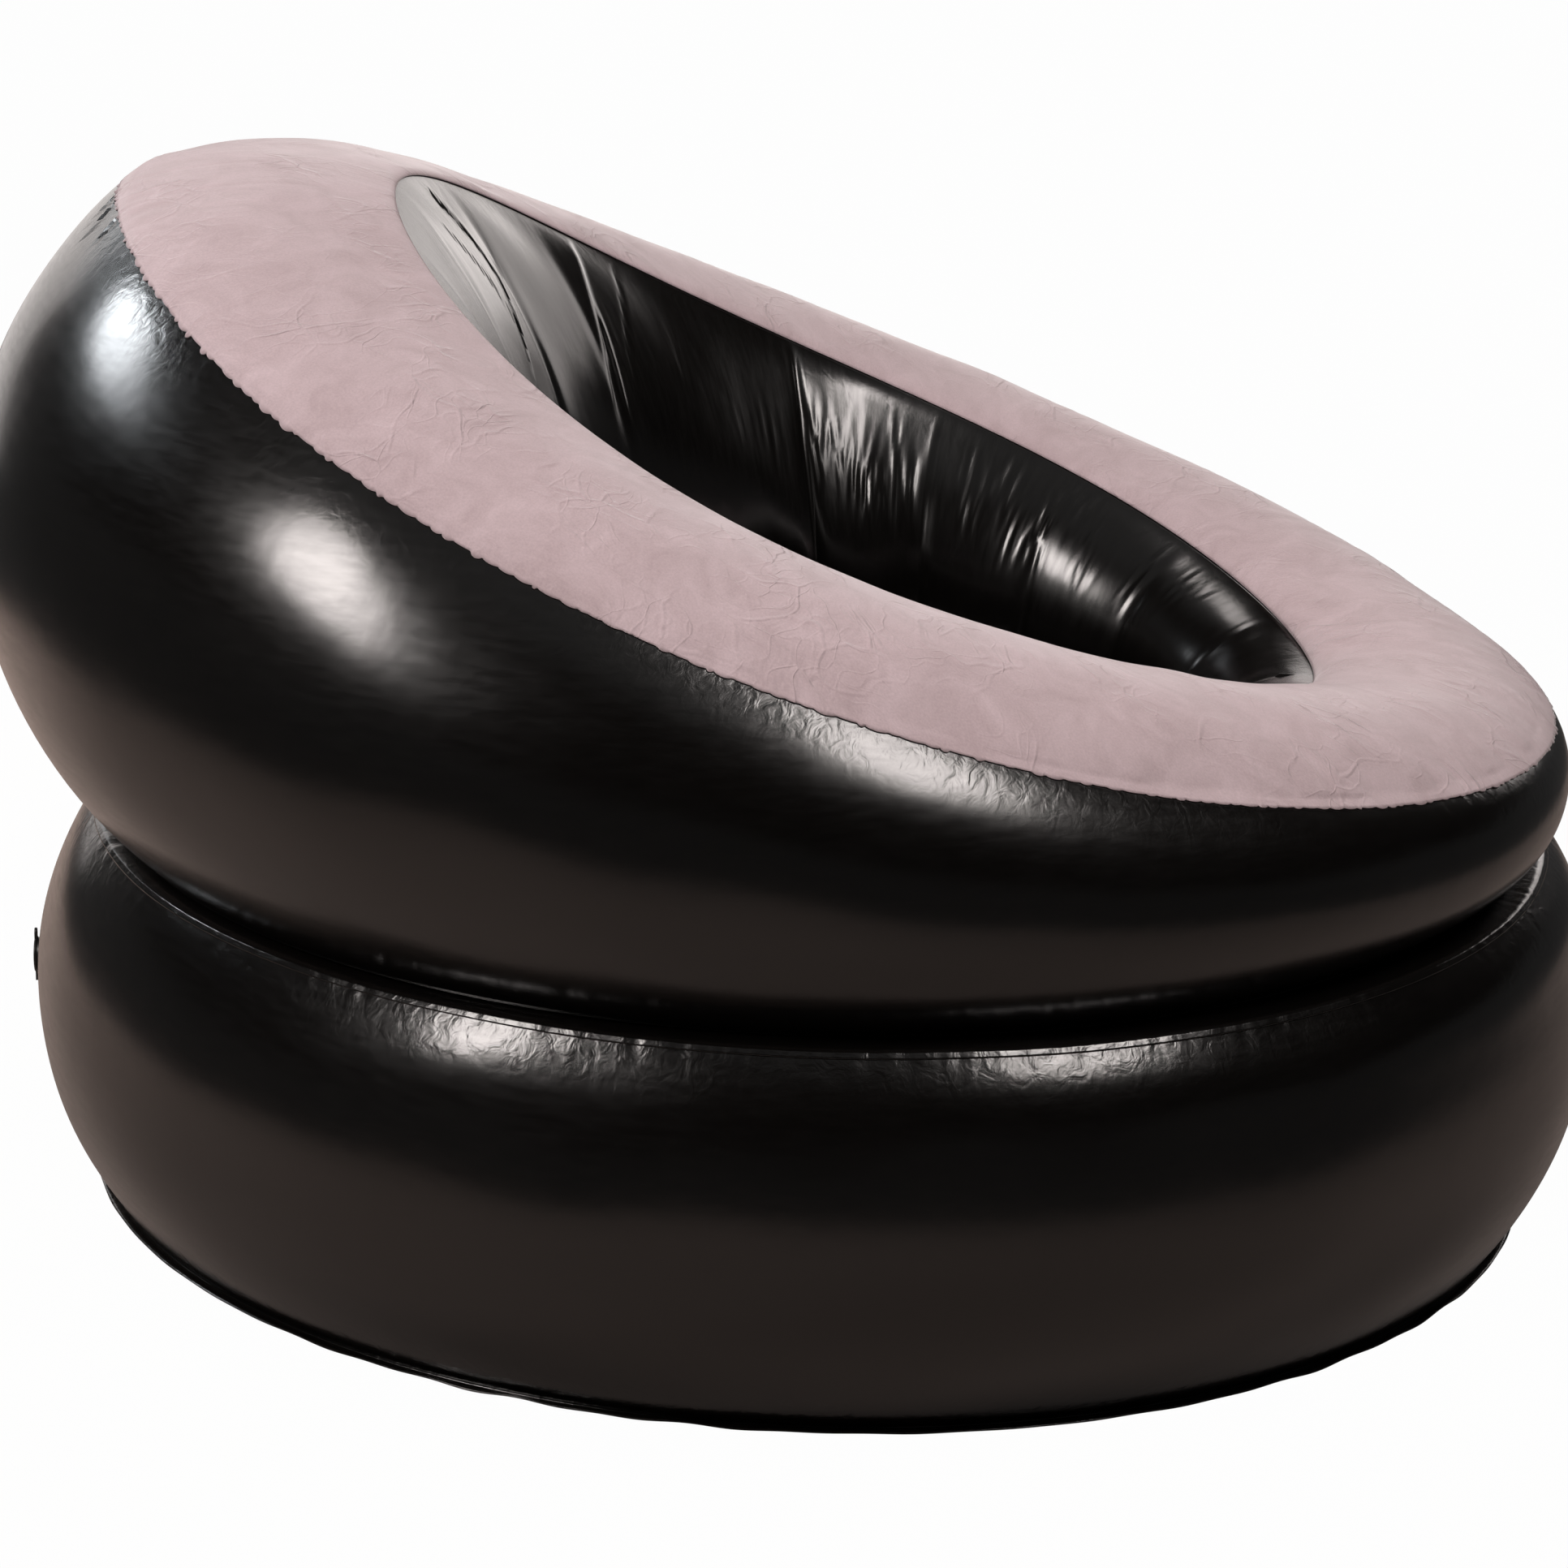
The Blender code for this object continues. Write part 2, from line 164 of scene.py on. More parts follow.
matt_paint, tree = start_material("matt_floor_paint")
place = add(tree, "TexCoord")
away = add(tree, "VectorMath", {0: (place, "Object")}, operation="LENGTH")
# Painted pool of light: past this radius the floor's paint fades to the darker painted shade.
dim = add(tree, "MapRange", {"Value": (away, "Value"), "From Min": lit_floor_radius,
                             "From Max": lit_floor_radius + floor_fade}, interpolation_type="SMOOTHSTEP")
floor_tone = mix_colours(tree, (dim, "Result"), linear(floor_colour), linear(far_floor_painted_shade))
paint = add(tree, "BsdfDiffuse", {"Color": floor_tone})
glow = add(tree, "Emission", {"Color": linear("ffffff"), "Strength": 1})
mix = add(tree, "MixShader", {0: background_share(tree), 1: (paint, "BSDF"), 2: (glow, "Emission")})
add(tree, "OutputMaterial", {"Surface": (mix, "Shader")})
bm = bmesh.new()
bmesh.ops.create_circle(bm, cap_ends=True, segments=floor_segments, radius=floor_radius)
floor = make_object("studio_floor", bm, matt_paint)

room = bpy.data.worlds.new("studio_room")
room.use_nodes = True
tree = room.node_tree
tree.nodes.clear()
towards = add(tree, "TexCoord")
parts = add(tree, "SeparateXYZ", {"Vector": (towards, "Generated")})
fade = add(tree, "MapRange", {"Value": (parts, "Z"), "From Min": horizon_top, "From Max": horizon_fade,
                              "To Min": 1, "To Max": 0}, interpolation_type="SMOOTHSTEP")
shown = add(tree, "Math", {0: (fade, "Result"), 1: background_share(tree)}, operation="MULTIPLY")
above = add(tree, "MapRange", {"Value": (parts, "Z"), "From Min": ceiling_edge, "From Max": ceiling_full},
            interpolation_type="SMOOTHSTEP")
indoors = mix_colours(tree, (above, "Result"), linear(room_colour), linear(ceiling_colour))
tones = mix_colours(tree, (shown, "Value"), indoors, linear("ffffff"))
sky = add(tree, "Background", {"Color": tones, "Strength": 1})
add(tree, "OutputWorld", {"Surface": (sky, "Background")})
bpy.context.scene.world = room


# The lamps
# Two oval softboxes on the camera's side, and one behind with a halo, make the soft patches on the walls.
# Panels behind light the well's back and pale the film at both edges. Lamps overhead light the flock, and a
# wash lights the floor behind. Honeycombs keep most of the light off the far floor.

warm_light = (1, 0.93, 0.9)
cool_light = (0.92, 0.96, 1)
honeycomb_spread = math.radians(90)
open_spread = math.radians(180)
narrow_spread = math.radians(36)
halo_spread = math.radians(52)


def hang_softbox(name, place, aim, width, height, brightness, light=warm_light, spread=honeycomb_spread,
                 shape="ELLIPSE", lean=0):
    """A flat lamp that faces the aim. At brightness 1 it would show as plain white, whatever its spread."""
    data = bpy.data.lights.new(name, "AREA")
    data.shape = shape
    data.size = width
    data.size_y = height
    data.color = light
    data.spread = spread
    area = width * height * (math.pi / 4 if shape == "ELLIPSE" else 1)
    half = spread / 2
    narrowing = 1 if spread == open_spread else 1 - half / math.tan(half)
    data.energy = brightness * math.pi * area * narrowing
    lamp = bpy.data.objects.new(name, data)
    bpy.context.scene.collection.objects.link(lamp)
    arm = Vector(place) - Vector(aim)
    facing = arm.to_track_quat("Z", "Y").to_matrix() @ Matrix.Rotation(math.radians(lean), 3, "Z")
    lamp.matrix_world = Matrix.LocRotScale(Vector(place), facing, None)
    lamp.visible_camera = False
    return lamp


hang_softbox("left_softbox", place=(-1.56, 1.82, 2.10), aim=(-0.3, 0.2, 0.45), width=0.8, height=1.25,
             brightness=21)
hang_softbox("right_softbox", place=(-0.82, -1.29, 2.56), aim=(-0.3, -0.1, 0.45), width=1.75, height=0.65,
             brightness=17, lean=38)
hang_softbox("back_softbox", place=(0.86, 2.45, 1.83), aim=(-0.5, 0.6, 0.6), width=1.0, height=0.62,
             brightness=22, light=cool_light, spread=narrow_spread)
hang_softbox("back_halo", place=(1.9, 1.76, 1.66), aim=(-0.9, 0.9, 0.5), width=1.2, height=1.2,
             brightness=2.8, light=cool_light, spread=halo_spread, shape="RECTANGLE")
hang_softbox("back_panel", place=(1.76, -0.95, 1.04), aim=(0.1, 0.25, 0.6), width=1.6, height=0.72,
             brightness=1.9, spread=open_spread, shape="RECTANGLE")
hang_softbox("backdrop_panel", place=(2.6, 0.5, 0.65), aim=(0, 0.1, 0.5), width=3.9, height=1.2,
             brightness=1.15, spread=open_spread, shape="RECTANGLE")
overhead = (1.60, 0.37, 3.04)
hang_softbox("top_softbox", place=overhead, aim=(0.15, -0.28, 0.5), width=0.7, height=0.7, brightness=6)
top_fill = hang_softbox("top_fill", place=overhead, aim=(0, 0, 0.5), width=1.7, height=1.7, brightness=2.9)
floor_wash = hang_softbox("floor_wash", place=(1.15, 1.55, 1.0), aim=(0.5, 0.8, 0), width=1.8, height=0.6,
                          brightness=19)
for lamp in (top_fill, floor_wash):
    lamp.visible_glossy = False


# Valves
# Each chamber has a soft moulded valve, welded into its wall before the wall is joined to anything: a flanged
# collar, a cap that plugs it, the strap that keeps the cap, and inside a clear flap that the air holds shut.

MM = 0.001
film = 0.4 * MM
gap = 0.3 * MM
bore_radius = 9.5 * MM
collar_radius = 12 * MM
collar_height = 5 * MM
collar_depth = 12 * MM
valve_flange_radius = 21 * MM
flange_top = gap + 1.2 * MM
weld_bead = 0.35 * MM
bead_radius = valve_flange_radius - 3 * MM
strap_floor = flange_top + gap
strap_top = strap_floor + 1.2 * MM
strap_outer = collar_radius + gap + 2.6 * MM
fold_reach = strap_outer + 4 * MM
cap_floor = collar_height + gap
cap_top = cap_floor + 1.8 * MM
cap_radius = collar_radius + 0.6 * MM
cap_dish = 0.5 * MM
plug_radius = bore_radius - gap
plug_end = collar_height - 4 * MM
plug_taper = 0.5 * MM
arm_thickness = 1.2 * MM
tab_length = 7 * MM
tongue_spread = math.radians(15)
flap_radius = bore_radius + 1.2 * MM
flap_top = -collar_depth - gap
flap_thickness = 1 * MM
valve_edge_round = 0.22 * MM
rounded_edge_angle = math.radians(40)
smooth_edge_angle = math.radians(50)
valve_steps = 72
merge_distance = gap / 10

# Moulded soft PVC: black, a little dull, with the fine grain that its mould was etched with.
vinyl_dark = "161616"
vinyl_light = "222221"
mould_grain = 0.6 * MM
mould_cloud = 14 * MM

valve_vinyl, tree = start_material("moulded_soft_pvc")
place = add(tree, "TexCoord")
grain = add(tree, "TexNoise", {"Vector": (place, "Object"), "Scale": 1 / mould_grain, "Detail": 2})
cloud = add(tree, "TexNoise", {"Vector": (place, "Object"), "Scale": 1 / mould_cloud, "Detail": 2})
tint = mix_colours(tree, (cloud, "Fac"), linear(vinyl_dark), linear(vinyl_light))
bumps = add(tree, "Bump", {"Height": (grain, "Fac"), "Distance": 0.03 * MM, "Strength": 0.6})
skin = add(tree, "BsdfPrincipled", {"Base Color": tint, "Roughness": 0.42, "Normal": (bumps, "Normal")})
add(tree, "OutputMaterial", {"Surface": (skin, "BSDF")})

# Clear flap vinyl: cut from clear PVC sheet, which is slightly cloudy and lets the dark behind it through.
clear_grey = "c9c9c4"
clear_pale = "e2e2de"
flap_cloud = 6 * MM

flap_vinyl, tree = start_material("clear_flap_vinyl")
place = add(tree, "TexCoord")
cloud = add(tree, "TexNoise", {"Vector": (place, "Object"), "Scale": 1 / flap_cloud, "Detail": 3})
tint = mix_colours(tree, (cloud, "Fac"), linear(clear_grey), linear(clear_pale))
skin = add(tree, "BsdfPrincipled", {"Base Color": tint, "Roughness": 0.25, "IOR": 1.53,
                                    "Transmission Weight": 0.5})
add(tree, "OutputMaterial", {"Surface": (skin, "BSDF")})


def turned(profile):
    """A bmesh of a profile of (radius, height) points turned about Z."""
    bm = bmesh.new()
    points = [bm.verts.new((radius, 0, height)) for radius, height in profile]
    edges = [bm.edges.new(pair) for pair in zip(points, points[1:])]
    if profile[0][0] > 0:
        edges.append(bm.edges.new((points[-1], points[0])))
    bmesh.ops.spin(bm, geom=points + edges, cent=(0, 0, 0), axis=(0, 0, 1), angle=math.tau, steps=valve_steps,
                   use_merge=True)
    bmesh.ops.remove_doubles(bm, verts=bm.verts, dist=merge_distance)
    bmesh.ops.recalc_face_normals(bm, faces=bm.faces)
    return bm


def rim_faces(bm, side, low, high):
    """The facets in the middle of a turned piece's rim, on its +Y or -Y side and between two heights."""
    rim = []
    for face in bm.faces:
        middle = face.calc_center_median()
        if face.normal.y * side > math.cos(tongue_spread) and middle.y * side > 0 and low < middle.z < high:
            rim.append(face)
    return rim


def draw_out(bm, faces, axis, place, round_end=False):
    """Extrude a patch until its end lies at that place along an axis, flat or rounded, and return the end."""
    grown = bmesh.ops.extrude_face_region(bm, geom=faces)["geom"]
    bmesh.ops.delete(bm, geom=[face for face in faces if face.is_valid], context="FACES_ONLY")
    ends = [part for part in grown if isinstance(part, bmesh.types.BMFace)]
    points = {vertex for face in ends for vertex in face.verts}
    half = max(abs(vertex.co.x) for vertex in points)
    for vertex in points:
        vertex.co[axis] = place - (half - math.sqrt(half * half - vertex.co.x ** 2) if round_end else 0)
    bm.normal_update()
    return ends


def valve_place(chamber):
    """Where a chamber's valve sits, from its two joints: X along their axes, Y up the wall, Z out of it."""
    swings = {joint["name"]: joint for joint in frame["joints"]}
    cap_swing = swings[f"{chamber}_valve_cap_swing"]
    flap_swing = swings[f"{chamber}_valve_flap_swing"]
    cap_pivot = Vector((0, -fold_reach, strap_top + gap / 2))
    drawn_line = (Vector((0, flap_radius, flap_top)) - cap_pivot).normalized()
    x_axis = Vector(cap_swing["axis"])
    line = (Vector(flap_swing["pos_m"]) - Vector(cap_swing["pos_m"])).normalized()
    beside = x_axis.cross(line)
    y_axis = line * drawn_line.y - beside * drawn_line.z
    z_axis = line * drawn_line.z + beside * drawn_line.y
    turn = Matrix((x_axis, y_axis, z_axis)).transposed()
    return Matrix.LocRotScale(Vector(cap_swing["pos_m"]) - turn @ cap_pivot, turn, None)


def finish_valve_piece(bm, chamber, kind, solid, place, material, body):
    """Round a valve piece's edges, put it in its place and let it stand for its solid."""
    sharp = [edge for edge in bm.edges if edge.is_manifold and edge.calc_face_angle(0) > rounded_edge_angle]
    bmesh.ops.bevel(bm, geom=sharp, offset=valve_edge_round, offset_type="OFFSET", segments=2, profile=0.5,
                    affect="EDGES", clamp_overlap=True, material=-1)
    bmesh.ops.transform(bm, matrix=place, verts=bm.verts)
    piece = make_object(f"{chamber}_{kind}", bm, material)
    piece.data.shade_smooth()
    piece.data.set_sharp_from_angle(angle=smooth_edge_angle)
    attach(piece, body)
    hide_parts(f"{chamber}_{solid}")


valve_places = {chamber: valve_place(chamber) for chamber in ("base", "ring")}
for chamber, place in valve_places.items():
    collar = turned((
        (collar_radius, -collar_depth), (collar_radius, gap), (valve_flange_radius, gap),
        (valve_flange_radius, flange_top), (bead_radius + weld_bead, flange_top),
        (bead_radius, flange_top - weld_bead), (bead_radius - weld_bead, flange_top),
        (collar_radius, flange_top), (collar_radius, collar_height), (bore_radius, collar_height),
        (bore_radius, -collar_depth)))
    finish_valve_piece(collar, chamber, "valve_collar", "valve_body", place, valve_vinyl, "chair")
    strap = turned((
        (collar_radius + gap, strap_floor), (strap_outer, strap_floor),
        (strap_outer, strap_top), (collar_radius + gap, strap_top)))
    draw_out(strap, rim_faces(strap, -1, strap_floor, strap_top), 1, -fold_reach)
    finish_valve_piece(strap, chamber, "valve_keeper", "valve_strap", place, valve_vinyl, "chair")
    cap = turned((
        (0, plug_end), (plug_radius - plug_taper, plug_end), (plug_radius, cap_floor),
        (cap_radius, cap_floor), (cap_radius, cap_top), (plug_radius, cap_top),
        (plug_radius - 2 * cap_dish, cap_top - cap_dish), (0, cap_top - cap_dish)))
    draw_out(cap, rim_faces(cap, 1, cap_floor, cap_top), 1, cap_radius + tab_length, round_end=True)
    arm = draw_out(cap, rim_faces(cap, -1, cap_floor, cap_top), 1, -fold_reach + arm_thickness)
    draw_out(cap, arm, 1, -fold_reach)
    under = [face for face in cap.faces if face.normal.z < -0.9
             and face.calc_center_median().y < -fold_reach + arm_thickness]
    draw_out(cap, under, 2, strap_top + gap)
    finish_valve_piece(cap, chamber, "valve_stopper", "valve_cap", place, valve_vinyl, f"{chamber}_cap")
    flap = turned((
        (0, flap_top - flap_thickness), (flap_radius, flap_top - flap_thickness), (flap_radius, flap_top),
        (0, flap_top)))
    finish_valve_piece(flap, chamber, "valve_leaf", "valve_flap", place, flap_vinyl, f"{chamber}_flap")


# Base wall
# A band of 0.4 mm black PVC film, calendered smooth, that air swells into a drum. Its foot is welded into a
# flange on the floor sheet, and its head is drawn into small pleats by the round weld at the top.

flange_width = 9 * MM
ruffle_height = 1.2 * MM
valve_weld_reach = 44 * MM

columns = 840
first_rib_angle = math.radians(10)
angles = first_rib_angle + np.linspace(0, math.tau, columns + 1)
out = np.stack((np.cos(angles), np.sin(angles), np.zeros(columns + 1)), axis=1)
up = np.array((0.0, 0.0, 1.0))
strip_steps = np.array((0, 2, 4, 6, 8, 10, 13, 17, 22, 28, 35)) * MM

base_bottom_radius = 500 * MM
base_top_radius = 508 * MM
base_height = 260 * MM
base_swell = 46 * MM
base_foot_fade = 40 * MM
shoulder_height = 2.4 * MM
shoulder_place = 34 * MM
shoulder_width = 28 * MM
floor_z = film / 2
flange_z = floor_z + film + gap


def unit(vectors):
    return vectors / np.linalg.norm(vectors, axis=-1, keepdims=True)


def turned_from(angle):
    """How far each column is turned from an angle, in radians, up to half a turn either way."""
    return (angles - angle + math.pi) % math.tau - math.pi


def risen(away, distance):
    """A share that rises from 0 at a seam to 1 at a distance from it."""
    return np.minimum(1, away / distance)


def arc_length(start, end, swell):
    """Length of the arc between two edges that stands out by swell in its middle."""
    half = np.linalg.norm(end - start, axis=-1) / 2
    radius = (half * half + swell * swell) / (2 * swell)
    return 2 * radius * np.arcsin(np.minimum(1, half / radius))


def shares_between(length, rows, at_start, at_end):
    """Shares of each column's length: steps of given sizes from its start and end, even rows between."""
    first = np.outer(at_start, 1 / length)
    last = 1 - np.outer(at_end, 1 / length)
    spread = np.linspace(0, 1, rows + 1)[1:-1, None]
    middle = first[-1] + (last[-1] - first[-1]) * spread
    return np.vstack((first, middle, last[::-1]))


def swollen(start, end, side, swell, shares):
    """Points of each column's arc from start to end, which air has pushed out by swell towards side."""
    chord = end - start
    half = np.linalg.norm(chord, axis=-1) / 2
    line = unit(chord)
    side = unit(side - line * np.sum(side * line, axis=-1, keepdims=True))
    radius = (half * half + swell * swell) / (2 * swell)
    centre = (start + end) / 2 + side * (swell - radius)[:, None]
    turns = np.arcsin(np.minimum(1, half / radius)) * (2 * shares - 1)
    return centre + (line * np.sin(turns)[..., None] + side * np.cos(turns)[..., None]) * radius[:, None]


def outside(points):
    """Unit normals of rows of points that run all the way round, on the outside of their chamber."""
    ring = np.concatenate((points[:, -2:-1], points, points[:, 1:2]), axis=1)
    around = (ring[:, 2:] - ring[:, :-2])
    along = np.gradient(points, axis=0)
    return unit(np.cross(around, along))


def creased(away, reach, creases):
    """Heights of creases on rows of points that lie so far away from the seam, at a radius of reach.

    Each crease has its angle in degrees, distance from the seam, half width, half length, lean and height.
    """
    heights = np.zeros(away.shape)
    for angle, middle, width, length, lean, height in creases:
        aside = turned_from(math.radians(angle)) * reach
        # Past these columns a crease is too faint to matter.
        near = np.flatnonzero(np.abs(aside) < 5 * width + abs(lean) * 3 * length)
        off = (away[:, near] - middle) / length
        across = (aside[near] - lean * (away[:, near] - middle)) / width
        fold = (1 - across * across) * np.exp(-across * across / 2)
        heights[:, near] += height * fold * np.exp(-off * off)
    return heights


def pleats(seed, spacing, reach, length, depth):
    """Small random pleats square to a seam, as creases whose middles lie on it."""
    draw = np.random.default_rng(seed)
    count = int(math.tau * reach / spacing)
    made = []
    for number in range(count):
        angle = 360 * (number + draw.uniform(-0.45, 0.45)) / count
        width = spacing * draw.uniform(0.12, 0.3)
        made.append((angle, 0, width, length * draw.uniform(0.4, 1.5), draw.uniform(-0.15, 0.15),
                     depth * draw.uniform(-1, 0.35)))
    return made


def folded(away, reach, path, width, height, shape):
    """Heights of one long fold, a valley, ridge or step, along a path of (angle, distance from the seam)."""
    places = np.array([place for _, place in path])
    turns = np.interp(away, places, np.radians([angle for angle, _ in path]))
    aside = turned_from(turns) * reach / width
    ends = 1 / (1 + np.exp((places[0] - away) / (4 * MM))) / (1 + np.exp((away - places[-1]) / (6 * MM)))
    if shape == "step":
        return height * ends * np.exp(-np.maximum(aside, 0) / 10) / (1 + np.exp(np.clip(-3 * aside, -60, 60)))
    return height * ends * (1 - 0.5 * aside * aside) * np.exp(-aside * aside / 2)


def uneven(seed, away, height, reach, wavelength):
    """Broad unevenness of stretched film: a sum of slow waves of about that wavelength."""
    draw = np.random.default_rng(seed)
    heights = np.zeros(away.shape)
    waves = 14
    for number in range(waves):
        lobes = round(math.tau * reach / (wavelength * draw.uniform(0.7, 2.2)))
        pace = math.tau / (wavelength * draw.uniform(0.7, 1.8)) * draw.choice((-1, 1))
        heights += np.cos(lobes * angles + pace * away + draw.uniform(0, math.tau))
    return heights * height / math.sqrt(waves / 2)


def raised(points, heights):
    """Rows of points moved outwards by their heights."""
    return points + outside(points) * heights[..., None]


def lay_sheet(name, points, thickness, material, seams=()):
    """Lay a sheet of film over rows of points that run all the way round, and give it its thickness.

    The attribute laid holds each point's place on the sheet, wound on a cylinder so that it has no seam. The
    attribute beside_seam holds its distance from the nearest of the rows named as seams.
    """
    rows = len(points) - 1
    steps = np.linalg.norm(np.diff(points, axis=0), axis=-1)
    run = np.vstack((np.zeros(columns + 1), np.cumsum(steps, axis=0)))
    reach = np.linalg.norm(points[:, :, :2], axis=-1).max()
    beside = np.min([np.abs(run - run[seam]) for seam in seams] or [run + 1], axis=0)
    bm = bmesh.new()
    laid = bm.verts.layers.float_vector.new("laid")
    beside_seam = bm.verts.layers.float.new("beside_seam")
    bmesh.ops.create_grid(bm, x_segments=columns, y_segments=rows, size=1)
    for vertex in bm.verts:
        column = round((vertex.co.x + 1) / 2 * columns)
        row = round((vertex.co.y + 1) / 2 * rows)
        vertex.co = points[row, column]
        vertex[laid] = (out[column, 0] * reach, out[column, 1] * reach, run[row, column])
        vertex[beside_seam] = beside[row, column]
    bmesh.ops.remove_doubles(bm, verts=bm.verts, dist=merge_distance)
    bmesh.ops.recalc_face_normals(bm, faces=bm.faces)
    sheet = make_object(name, bm, material)
    sheet.data.shade_smooth()
    solidify = sheet.modifiers.new("film_thickness", "SOLIDIFY")
    solidify.thickness = thickness
    solidify.offset = 0
    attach(sheet, "chair")
    return sheet


def seat_valve(sheet, place):
    """Press a wall's film flat under its valve's flange, and cut the round hole for the collar."""
    into = place.inverted()
    hole_radius = collar_radius + gap
    bm = bmesh.new()
    bm.from_mesh(sheet.data)
    near = {vertex for vertex in bm.verts if (into @ vertex.co).length < valve_weld_reach}
    edges = [edge for edge in bm.edges if edge.verts[0] in near and edge.verts[1] in near]
    bmesh.ops.subdivide_edges(bm, edges=edges, cuts=2, use_grid_fill=True)
    near = [vertex for vertex in bm.verts if (into @ vertex.co).length < valve_weld_reach]
    inside = []
    for vertex in near:
        local = into @ vertex.co
        away = math.hypot(local.x, local.y)
        share = min(1, (valve_weld_reach - away) / (valve_weld_reach - valve_flange_radius))
        share = share * share * (3 - 2 * share)
        local.z += (-film / 2 - local.z) * share
        vertex.co = place @ local
        if away < hole_radius:
            inside.append(vertex)
    bmesh.ops.delete(bm, geom=inside, context="VERTS")
    for vertex in bm.verts:
        if vertex.is_boundary and (into @ vertex.co).length < valve_flange_radius:
            local = into @ vertex.co
            reduce = hole_radius / math.hypot(local.x, local.y)
            vertex.co = place @ Vector((local.x * reduce, local.y * reduce, local.z))
    bm.to_mesh(sheet.data)
    bm.free()
    sheet.data.shade_smooth()


def declare_sheet(solid):
    """Let a sheet stand for its solid, which is hidden."""
    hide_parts(solid)


# Black PVC film, calendered: a smooth dark skin that mirrors the lamps as soft patches. Faint streaks run the
# way it was rolled, and beside a weld the film is crumpled.
film_colour = "080706"
film_pale = "0c0a09"
film_ior = 1.54
film_roughness = 0.215
streak_size = 26 * MM
ripple_size = 90 * MM
crumple_size = 11 * MM
crumple_reach = 55 * MM


def make_black_film(name, drawn_out, streak_depth, crumple_depth, roughness=film_roughness):
    """Black film. Its streaks are squeezed by drawn_out round and up the sheet, and depths are in metres."""
    material, tree = start_material(name)
    place = add(tree, "Attribute", attribute_name="laid")
    beside = add(tree, "Attribute", attribute_name="beside_seam")
    around, along = drawn_out
    drawn = add(tree, "Mapping", {"Vector": (place, "Vector"), "Scale": (around, around, along)})
    streaks = add(tree, "TexNoise", {"Vector": (drawn, "Vector"), "Scale": 1 / streak_size, "Detail": 5,
                                     "Roughness": 0.6})
    ripples = add(tree, "TexNoise", {"Vector": (place, "Vector"), "Scale": 1 / ripple_size, "Detail": 3})
    crumples = add(tree, "TexNoise", {"Vector": (place, "Vector"), "Scale": 1 / crumple_size, "Detail": 3,
                                      "Roughness": 0.5, "Distortion": 0.9})
    near = add(tree, "MapRange", {"Value": (beside, "Fac"), "From Min": 0.0, "From Max": crumple_reach,
                                  "To Min": 1.0, "To Max": 0.06}, interpolation_type="SMOOTHSTEP")
    lumps = add(tree, "Math", {0: (crumples, "Fac"), 1: (near, "Result")}, operation="MULTIPLY")
    dull = add(tree, "MapRange", {"Value": (streaks, "Fac"), "From Min": 0.3, "From Max": 0.7,
                                  "To Min": roughness * 0.9, "To Max": roughness * 1.15})
    tint = mix_colours(tree, (ripples, "Fac"), linear(film_colour), linear(film_pale))
    waves = add(tree, "Bump", {"Height": (ripples, "Fac"), "Distance": 0.6 * MM, "Strength": 1})
    lines = add(tree, "Bump", {"Height": (streaks, "Fac"), "Distance": streak_depth, "Strength": 1,
                               "Normal": (waves, "Normal")})
    folds = add(tree, "Bump", {"Height": (lumps, "Value"), "Distance": crumple_depth, "Strength": 1,
                               "Normal": (lines, "Normal")})
    skin = add(tree, "BsdfPrincipled", {"Base Color": tint, "IOR": film_ior, "Roughness": (dull, "Result"),
                                        "Specular IOR Level": 0.6, "Normal": (folds, "Normal")})
    add(tree, "OutputMaterial", {"Surface": (skin, "BSDF")})
    return material


black_film = make_black_film("calendered_black_pvc", (1, 5), streak_depth=0.02 * MM, crumple_depth=0.5 * MM)

ruffle = 1 + np.sin(43 * angles) * np.cos(11 * angles + 1)
ruffle = ruffle_height * ruffle * (0.6 + 0.4 * np.sin(5 * angles))
base_foot = out * base_bottom_radius + up * flange_z
base_head = out * base_top_radius + up * base_height
base_length = arc_length(base_foot, base_head, np.full(columns + 1, base_swell))
shares = shares_between(base_length, 40, at_start=(0, 3 * MM, 7 * MM, 12 * MM), at_end=strip_steps)
base_wall_away = (1 - shares) * base_length
base_wall_points = swollen(base_foot, base_head, out, np.full(columns + 1, base_swell), shares)
head_pleats = pleats(seed=3, spacing=21 * MM, reach=base_top_radius, length=13 * MM, depth=0.6 * MM)
base_wall_heights = creased(base_wall_away, base_top_radius, head_pleats)
base_wall_heights += uneven(seed=4, away=base_wall_away, height=0.35 * MM, reach=base_top_radius,
                            wavelength=160 * MM)
# A soft shoulder runs below the head and fades out towards the back.
shoulder = shoulder_height * np.maximum(0, 1 - 1.5 * np.sin(angles))
base_wall_heights += shoulder * np.exp(-((base_wall_away - shoulder_place) / shoulder_width) ** 2)
base_wall_heights *= risen(shares * base_length, base_foot_fade)
base_wall_points = raised(base_wall_points, base_wall_heights)
flange_shares = np.array((1.0, 0.66, 0.33))[:, None, None]
base_wall_flange = base_wall_points[0] + out * flange_shares * flange_width
base_wall_flange = base_wall_flange + up * (ruffle[:, None] * flange_shares ** 2)
base_wall_rows = np.concatenate((base_wall_flange, base_wall_points))
flange_weld = len(base_wall_flange)
base_wall = lay_sheet("base_wall_film", base_wall_rows, film, black_film,
                      seams=(flange_weld, -1))
seat_valve(base_wall, valve_places["base"])
declare_sheet("base_wall")


# Base bottom sheet
# A disc of the same film, flat on the floor, that closes the base. Its edge is welded to the wall's flange,
# and the heat has ruffled both.

